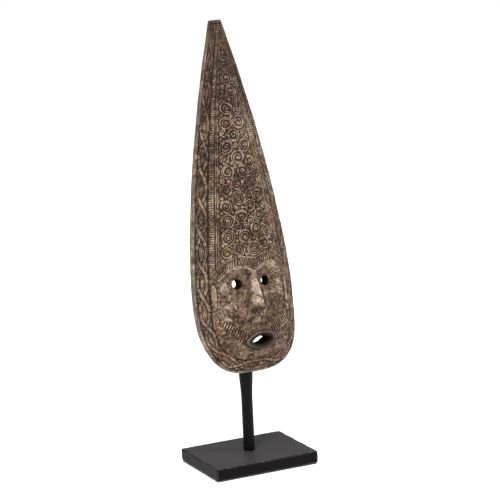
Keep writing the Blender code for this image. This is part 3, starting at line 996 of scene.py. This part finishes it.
def mottled_wood(m, plain, patch, small, skin):
    """The wood's own uneven brown, with reddish and ochre patches."""
    broad = m.noise(plain, 17.0, 3.0)
    blend = m.add(m.times(broad, 0.20), m.times(patch, 0.24))
    blend = m.add(blend, m.times(small, 0.30))
    blend = m.add(blend, m.times(m.noise(plain, 300.0, 4.0, 0.7), 0.26))
    spread = m.times(m.math("SUBTRACT", blend, 0.5), m.add(1.0, m.times(skin, 0.20)))
    blend = m.add(m.math("SUBTRACT", 0.495, m.times(skin, 0.006)), spread)
    tone = m.ramp(blend, [(0.425, DARK_WOOD), (0.475, BROWN_WOOD), (0.515, MID_WOOD),
                          (0.585, TAN_WOOD)])
    red = m.remap(m.noise(m.coords((1, 1, 1.3)), 24.0, 2.0), 0.56, 0.70)
    tone = m.mix(m.times(red, 0.42), tone, RED_WOOD)
    ochre = m.remap(m.noise(m.coords((1.2, 1, 1)), 33.0, 3.0), 0.60, 0.72)
    return m.mix(m.times(ochre, 0.45), tone, OCHRE_WOOD)


def carved_wood():
    m = Nodes("carved_wood")
    plain = m.coords()
    relief, hump, skin = m.attribute("relief"), m.attribute("hump"), m.attribute("skin")
    patch = m.noise(plain, 52.0, 5.0, 0.6)
    small = m.noise(plain, 150.0, 4.0, 0.6)
    fine = m.noise(plain, 480.0, 5.0, 0.65)
    grain = m.noise(m.coords((60.0, 60.0, 4.0), (LEAN, 0.0, 0.0)), 9.0, 5.0, 0.6)
    tone = mottled_wood(m, plain, patch, small, skin)

    # worn lighter, with painted highlight, where it stands out; painted shade, with dirt, where
    # it is cut in
    # lighter on raised carving as wear, and on the face's bulges such as the nose bridge as
    # painted highlight
    raised = m.add(m.add(relief, m.times(hump, 0.55)), m.times(small, 0.9))
    wear_and_highlight = m.times(m.remap(raised, 1.12, 1.50), m.remap(patch, 0.40, 0.60, 0.25, 1.0))
    tone = m.mix(m.times(wear_and_highlight, 0.80), tone, PALE_WOOD)
    # painted shade: darker in the cuts, on low relief and in the face's broad hollows round nose
    # and eyes
    shade_and_grime = m.remap(m.add(m.attribute("cavity"), m.times(small, 0.5)), 0.68, 1.02)
    shade_and_grime = m.math("MAXIMUM", shade_and_grime, m.remap(m.add(relief, m.times(small, 0.3)), 0.80, 0.30))
    shade_and_grime = m.math("MAXIMUM", shade_and_grime, m.remap(hump, -0.16, -1.25))
    tone = m.mix(m.times(shade_and_grime, 0.94), tone, SHADE_AND_PORE_DARK)

    # grain, pores, light specks on raised parts as painted glints with a dusty film, the smoky
    # tip and the grey edge strip
    tone = m.mix(m.remap(grain, 0.46, 0.68, 0.0, 0.5), tone, DARK_WOOD)
    pores = m.remap(fine, 0.56, 0.64, 0.0, 0.85)
    tone = m.mix(pores, tone, SHADE_AND_PORE_DARK)
    # light specks on raised parts: painted glints with a dusty film
    glints_and_dust = m.times(m.remap(fine, 0.42, 0.34, 0.0, 0.45), m.remap(relief, 0.5, 0.9))
    tone = m.mix(glints_and_dust, tone, PALE_WOOD)
    tone = m.mix(m.times(m.remap(m.attribute("height"), 0.70, 1.0), 0.62), tone, DARK_WOOD)
    grey = m.remap(m.noise(plain, 42.0, 4.0, 0.6), 0.46, 0.58)
    tone = m.mix(m.times(m.times(m.attribute("strip"), grey), 0.85), tone, GREY_WOOD)
    lip = m.mix(m.remap(relief, 0.45, 0.80), LIP_DARK, LIP_WORN)
    tone = m.mix(m.times(m.attribute("stain"), 0.95), tone, lip)

    # bare adzed wood behind, with the painted shade of the hollow at its dark end
    back = m.mix(m.remap(grain, 0.38, 0.62), BACK_PALE, BACK_BROWN)
    back = m.mix(m.remap(patch, 0.42, 0.60), back, BACK_PATCH)
    back = m.mix(m.remap(relief, 0.15, 0.9), BACK_SHADE_DARK, back)
    back = m.mix(pores, back, BACK_SPECK)
    tone = m.mix(m.attribute("hollow"), tone, back)
    m.bump(m.add(fine, m.times(grain, 0.6)), 0.55, 0.0006)
    return m.finish(tone, m.remap(small, 0.38, 0.62, 0.50, 0.85), WOOD_SPECULAR)


def hole_wall_shade():
    """Painted shade on the walls of the eye holes and the mouth: near-black wood."""
    m = Nodes("hole_wall_shade")
    speckle = m.noise(m.coords(), 260.0, 4.0, 0.6)
    m.bump(speckle, 0.4, 0.0004)
    return m.finish(m.mix(m.remap(speckle, 0.35, 0.65), HOLE_SHADE_DARK, HOLE_SHADE_LIGHTER),
                    m.remap(speckle, 0.3, 0.7, 0.85, 1.0), 0.0)


def black_satin(name, paint, edge_wear_and_highlight=False):
    """Black paint, lighter on what faces up as painted light from above with a dusty film, and
    worn edges where the mesh marks them, lighter partly as painted highlight.
    """
    m = Nodes(name)
    plain = m.coords()
    broad = m.noise(plain, 35.0, 4.0)
    tone = m.mix(m.remap(broad, 0.35, 0.7), paint, tuple(1.7 * v for v in paint))
    # painted light: faces that look up are lighter, as lit from above, with a dusty film
    split = m.new("ShaderNodeSeparateXYZ")
    m.put(split.inputs[0], m.new("ShaderNodeNewGeometry").outputs["Normal"])
    facing_up = m.remap(split.outputs["Z"], 0.80, 0.98)
    tone = m.mix(m.times(facing_up, m.remap(broad, 0.1, 0.6, 0.7, 1.0)), tone, TOP_LIGHT_AND_DUST)
    if edge_wear_and_highlight:
        # worn edges and chips, lighter partly as painted highlight and sparkle
        edge = m.attribute("edge")
        tone = m.mix(m.times(edge, 0.5), tone, EDGE_RUB_AND_HIGHLIGHT)
        chips = m.remap(m.times(edge, m.noise(plain, 330.0, 4.0, 0.75)), 0.52, 0.60)
        tone = m.mix(chips, tone, CHIP_AND_SPARKLE)
    m.bump(m.noise(plain, 900.0, 3.0), 0.10, 0.0001)
    return m.finish(tone, m.remap(broad, 0.3, 0.7, 0.34, 0.46), PAINT_SPECULAR)


def metal(name, colour):
    m = Nodes(name)
    scratch = m.noise(m.coords((1, 1, 14)), 500.0, 4.0)
    m.shader.inputs["Metallic"].default_value = 1.0
    m.bump(scratch, 0.1, 0.0002)
    return m.finish(m.mix(m.remap(scratch, 0.3, 0.7), colour, tuple(0.6 * v for v in colour)),
                    m.remap(scratch, 0.3, 0.7, 0.28, 0.5))


def felt_cloth():
    m = Nodes("black_felt")
    plain = m.coords()
    hair = m.noise(plain, 1500.0, 6.0, 0.8)
    tone = m.mix(m.remap(hair, 0.3, 0.7), FELT_LOW, FELT_HIGH)
    tone = m.mix(m.remap(m.noise(plain, 60.0, 3.0), 0.3, 0.8, 0.0, 0.4), tone, FELT_MAT)
    m.shader.inputs["Sheen Weight"].default_value = 0.3
    m.bump(hair, 0.6, 0.0005)
    return m.finish(tone, 0.95)


# ---------- base block
EDGE_ROUND = 2.2
POCKET_R, POCKET_DEEP = 7.6, 6.2
SOCKET_R, SOCKET_DEEP = 7.2, 10.4
SCREW_WAY_R = 2.9
PAST = 5.0                 # how far a cutter reaches past the face that it enters
BASE_HALF = np.array([BASE_L, BASE_W, BASE_T]) / 2.0


def grid_lines(half):
    """Lines over one side, close together at the rounded edges."""
    near = half - np.array([0.0, 0.4, 0.9, 1.5, EDGE_ROUND, 3.0, 4.2, 6.0])
    inner = np.linspace(-near[-1], near[-1], max(int(near[-1] / 2.5), 2))
    return join(-near, inner[1:-1], near[::-1])


def block_point(p):
    """Where a point of the square box goes on the rounded block, and how worn it is there."""
    core = np.clip(p, EDGE_ROUND - BASE_HALF, BASE_HALF - EDGE_ROUND)
    away = p - core
    size = np.linalg.norm(away)
    spot = core + EDGE_ROUND * away / size if size > 0 else p
    reach = np.sort(BASE_HALF - np.abs(p))[1]
    wear = math.exp(-(max(reach - 0.6, 0.0) / 1.6) ** 2)
    x, y, z = spot
    dent = float(rough_noise(np.array(x + 2.1 * z), np.array(y - 1.7 * z), 7.0, 91))
    spot = spot * (1.0 - wear * 0.45 * max(dent - 0.45, 0.0) / 10.0)
    return (spot + [0, 0, BASE_BOTTOM + BASE_T / 2.0]) * MM, wear


def as_object(name, bm):
    mesh = bpy.data.meshes.new(name)
    bm.to_mesh(mesh)
    bm.free()
    return add_object(name, mesh)


def rounded_block():
    bm = bmesh.new()
    edge_layer = bm.verts.layers.float.new("edge")
    found = {}

    def vert(p):
        key = tuple(np.round(p, 3))
        if key not in found:
            spot, wear = block_point(p)
            found[key] = bm.verts.new(spot.tolist())
            found[key][edge_layer] = wear
        return found[key]

    sides = [grid_lines(v) for v in BASE_HALF]
    for axis in range(3):
        b, c = (axis + 1) % 3, (axis + 2) % 3
        for sign in (-1.0, 1.0):
            for i in range(len(sides[b]) - 1):
                for j in range(len(sides[c]) - 1):
                    corners = []
                    for di, dj in ((0, 0), (1, 0), (1, 1), (0, 1)):
                        p = np.zeros(3)
                        p[axis] = sign * BASE_HALF[axis]
                        p[b], p[c] = sides[b][i + di], sides[c][j + dj]
                        corners.append(vert(p))
                    bm.faces.new(corners if sign > 0 else corners[::-1]).smooth = True
    return as_object("base_painted", bm)


def bore(name, radius, low, high):
    """Upright cylinder for a cut under the post, heights in mm from the floor."""
    bm = bmesh.new()
    place = Matrix.Translation((0.0, POST_Y * MM, (low + high) / 2.0 * MM))
    bmesh.ops.create_cone(bm, cap_ends=True, segments=64, radius1=radius * MM,
                          radius2=radius * MM, depth=(high - low) * MM, matrix=place)
    return as_object(name, bm)


# ---------- the pieces
mask = build_mask()
mask.data.materials.append(carved_wood())
cutters = [prism("eye_l", eye_outline(HOLE_L, 1)), prism("eye_r", eye_outline(HOLE_R, 2)),
           prism("mouth", mouth_outline())]
# the holes' walls get the near-black painted shade
bored = hole_wall_shade()
for cutter in cutters:
    cutter.data.materials.append(bored)
pierce(mask, cutters)
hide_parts("mask")
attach(mask, "root")

base = rounded_block()
pierce(base, [
    bore("socket", SOCKET_R, BASE_TOP - SOCKET_DEEP, BASE_TOP + PAST),
    bore("pocket", POCKET_R, BASE_BOTTOM - PAST, BASE_BOTTOM + POCKET_DEEP),
    bore("screw_way", SCREW_WAY_R, BASE_BOTTOM - PAST, BASE_TOP),
])
base.data.materials.clear()
base.data.materials.append(black_satin("base_black", BASE_PAINT, edge_wear_and_highlight=True))
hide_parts("base_block")
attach(base, "root")


def dress(node, material):
    """The procedural material of a node that keeps its CAD shape."""
    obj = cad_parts[node]
    if not obj.material_slots:
        obj.data.materials.append(material)
    for slot in obj.material_slots:
        slot.material = material


dress("post", black_satin("post_black", POST_PAINT))
dress("felt_pad", felt_cloth())
for screw in ("mask_screw_lower", "mask_screw_upper", "base_screw"):
    dress(screw, metal("screw_steel_" + screw, STEEL))
dress("base_washer", metal("washer_zinc", ZINC))

# ---------- studio
FLOOR_HALF = 6.0
LIT = (0.0, 0.0, 0.40)     # what the lights point at
FILL = 0.32                # the world's light; the camera sees it as plain white
SUN_POWER, SUN_ANGLE = 2.9, math.radians(50.0)
SUN_TURN = (math.radians(18.0), math.radians(-14.0), 0.0)


def floor():
    mesh = bpy.data.meshes.new("floor")
    s = FLOOR_HALF
    mesh.from_pydata([(-s, -s, 0), (s, -s, 0), (s, s, 0), (-s, s, 0)], [], [(0, 1, 2, 3)])
    m = Nodes("floor")
    mesh.materials.append(m.finish((0.92, 0.92, 0.92), 0.9, 0.1))
    add_object("floor", mesh)


def area(name, place, size, power, glossy=True):
    light = bpy.data.lights.new(name, "AREA")
    light.shape = "RECTANGLE"
    light.size, light.size_y = size
    light.energy = power
    obj = add_object(name, light)
    obj.location = place
    obj.rotation_euler = (Vector(LIT) - Vector(place)).to_track_quat("-Z", "Y").to_euler()
    obj.visible_glossy = glossy


def background():
    """A dim fill for the scene that the camera itself sees as white."""
    scene.world = bpy.data.worlds.new("studio")
    scene.world.use_nodes = True
    tree = scene.world.node_tree
    fill = tree.nodes["Background"]
    seen = tree.nodes.new("ShaderNodeBackground")
    for node, strength in ((fill, FILL), (seen, 1.0)):
        node.inputs["Color"].default_value = (1.0, 1.0, 1.0, 1.0)
        node.inputs["Strength"].default_value = strength
    ray = tree.nodes.new("ShaderNodeLightPath")
    both = tree.nodes.new("ShaderNodeMixShader")
    tree.links.new(ray.outputs["Is Camera Ray"], both.inputs[0])
    tree.links.new(fill.outputs[0], both.inputs[1])
    tree.links.new(seen.outputs[0], both.inputs[2])
    tree.links.new(both.outputs[0], tree.nodes["World Output"].inputs["Surface"])


floor()
background()
sun = bpy.data.lights.new("overhead", "SUN")
sun.energy, sun.angle = SUN_POWER, SUN_ANGLE
add_object("overhead", sun).rotation_euler = SUN_TURN
area("key", (-2.0, -1.9, 1.6), (0.9, 1.2), 86.0)
area("rim", (2.3, -1.3, 1.1), (0.5, 1.6), 64.0)
area("behind", (0.6, 2.8, 1.5), (1.6, 1.2), 30.0, glossy=False)

# ---------- camera
# the picture's viewing angle, solved from the base block
CAM_AZ, CAM_EL, CAM_ROLL = math.radians(27.25), math.radians(12.05), math.radians(-1.61)
CAM_DIST = 3.136
CAM_AIM = Vector((0.0, 0.0, 0.3518))
CAM_RIGHT, CAM_UP = 0.0103, -0.0032  # the small move off the aim that frames the object
SENSOR, LENS = 36.0, 144.0
look = Vector((math.sin(CAM_AZ) * math.cos(CAM_EL), math.cos(CAM_AZ) * math.cos(CAM_EL),
               -math.sin(CAM_EL)))
right = Vector((math.cos(CAM_AZ), -math.sin(CAM_AZ), 0.0))
upward = right.cross(look)
aim = CAM_AIM + CAM_RIGHT * right + CAM_UP * upward
roll_right = math.cos(CAM_ROLL) * right + math.sin(CAM_ROLL) * upward
roll_up = -math.sin(CAM_ROLL) * right + math.cos(CAM_ROLL) * upward
turn = Matrix((roll_right, roll_up, -look)).transposed().to_4x4()
camera = add_object("camera", bpy.data.cameras.new("camera"))
camera.data.sensor_width = SENSOR
camera.data.lens = LENS
camera.data.clip_end = 50.0
camera.matrix_world = Matrix.Translation(aim - CAM_DIST * look) @ turn
scene.camera = camera
scene.view_settings.view_transform = "Standard"
